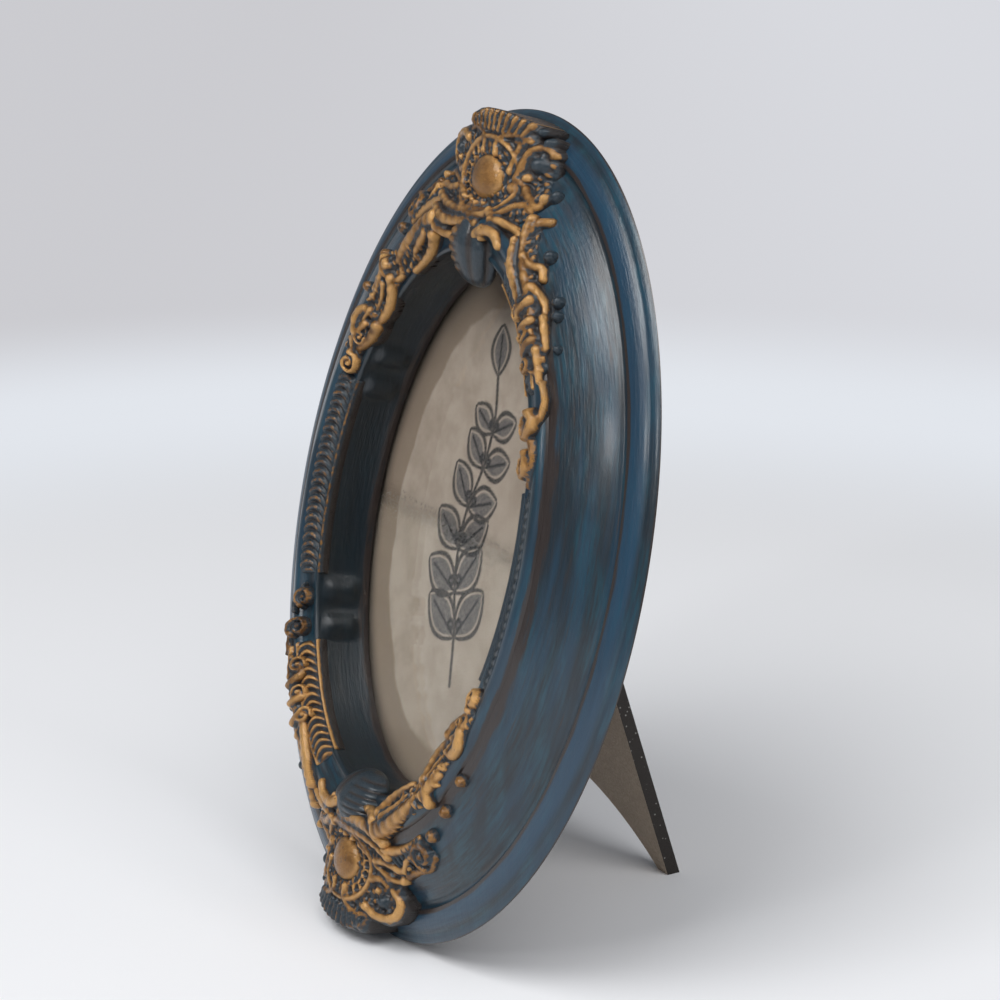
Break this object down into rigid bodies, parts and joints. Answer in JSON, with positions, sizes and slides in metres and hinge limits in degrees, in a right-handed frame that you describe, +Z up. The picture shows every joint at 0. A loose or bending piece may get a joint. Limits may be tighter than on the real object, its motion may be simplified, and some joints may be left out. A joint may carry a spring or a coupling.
{
  "type": "oval picture frame",
  "caption": "Oval table-top picture frame with a deep ornamented moulding, glazed oval opening, turn-buttoned back and a hinged folding easel leg.",
  "frame": {"origin": "middle of the footprint, on the surface that the frame stands on", "axes": "+Z up, +X to the right seen from the front, -Y towards the viewer; the frame leans back towards +Y on its leg"},
  "size_m": [0.14, 0.0818, 0.1734],
  "materials": {
    "moulding_paint": "teal-blue paint over a brown ground, satin",
    "gilt": "bronze-gold dry brushed over dark ground",
    "pane_glass": "clear, polished",
    "insert_paper": "printed, matte",
    "card": "grey board",
    "board": "fibreboard, dark painted back",
    "leg_board": "raw fibreboard face, dark painted edges",
    "steel": "zinc-plated"
  },
  "bodies": {
    "frame": {"backing_board": "board", "base_boss": "gilt", "base_cartouche": "gilt", "base_drop": "gilt", "crest_boss": "gilt", "crest_cartouche": "gilt", "crest_drop": "gilt", "filler_card": "card", "frame_moulding": "moulding_paint", "glass_pane": "pane_glass", "hinge_back_leaf": "steel", "hinge_board_rivets": "steel", "hinge_pin": "steel", "left_gadroon_band": "gilt", "left_volutes": "gilt", "lower_left_gadroon_band": "gilt", "lower_left_spray": "gilt", "lower_right_spray": "gilt", "picture_insert": "insert_paper", "right_gadroon_band": "gilt", "right_volutes": "gilt", "turn_button_screws": "steel", "upper_left_spray": "gilt", "upper_right_gadroon_band": "gilt", "upper_right_spray": "gilt"},
    "leg": {"easel_leg": "leg_board", "hinge_leg_leaf": "steel", "hinge_leg_rivets": "steel"},
    "turn_button_1": {"turn_button_1": "steel"},
    "turn_button_2": {"turn_button_2": "steel"},
    "turn_button_3": {"turn_button_3": "steel"},
    "turn_button_4": {"turn_button_4": "steel"}
  },
  "joints": [
    {"name": "leg_fold", "type": "hinge", "parent": "frame", "child": "leg", "pos_m": [0, 0.00477, 0.10678], "axis": [-1, 0, 0], "range_deg": [0, 31.5]},
    {"name": "turn_button_1_swivel", "type": "hinge", "parent": "frame", "child": "turn_button_1", "pos_m": [0.03895, 0.00655, 0.1253], "axis": [0, 0.9724, -0.2334], "range_deg": [-90, 90]},
    {"name": "turn_button_2_swivel", "type": "hinge", "parent": "frame", "child": "turn_button_2", "pos_m": [-0.03895, 0.00655, 0.1253], "axis": [0, 0.9724, -0.2334], "range_deg": [-90, 90]},
    {"name": "turn_button_3_swivel", "type": "hinge", "parent": "frame", "child": "turn_button_3", "pos_m": [-0.03895, -0.01326, 0.04279], "axis": [0, 0.9724, -0.2334], "range_deg": [-90, 90]},
    {"name": "turn_button_4_swivel", "type": "hinge", "parent": "frame", "child": "turn_button_4", "pos_m": [0.03895, -0.01326, 0.04279], "axis": [0, 0.9724, -0.2334], "range_deg": [-90, 90]}
  ]
}
